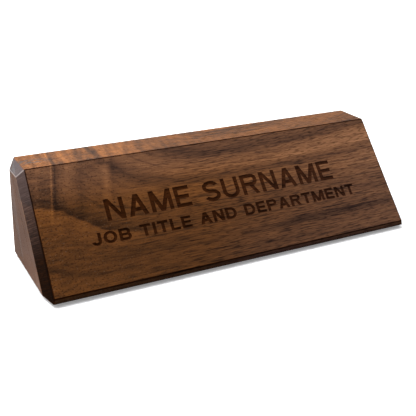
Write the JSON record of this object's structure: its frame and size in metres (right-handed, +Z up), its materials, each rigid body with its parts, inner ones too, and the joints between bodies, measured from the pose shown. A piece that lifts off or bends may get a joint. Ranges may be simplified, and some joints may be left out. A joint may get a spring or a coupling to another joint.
{
  "type": "desk name plate wedge",
  "caption": "Free-standing walnut wedge name plate for a desk, glued up from boards with dowels and felt pads, with a sloping front for an engraved name.",
  "frame": {"origin": "on the desk, under the middle of the wedge's length and depth", "axes": "+X along the length to the reader's right, +Y to the upright back, +Z up; the sloping engraved face looks towards -Y and up"},
  "size_m": [0.254, 0.0762, 0.0653],
  "materials": {
    "front_walnut": "satin clear-coated walnut, flat sawn, with curly figure at one end",
    "middle_walnut": "satin clear-coated walnut",
    "rear_walnut": "satin clear-coated walnut",
    "dowel_beech": "bare fluted beech",
    "pad_felt": "pressed wool felt"
  },
  "bodies": {
    "root": {"front_board": "front_walnut", "middle_board": "middle_walnut", "rear_board": "rear_walnut", "front_dowel_left": "dowel_beech", "front_dowel_right": "dowel_beech", "rear_dowel_left": "dowel_beech", "rear_dowel_right": "dowel_beech", "pad_front_left": "pad_felt", "pad_front_right": "pad_felt", "pad_back_left": "pad_felt", "pad_back_right": "pad_felt"}
  },
  "joints": []
}
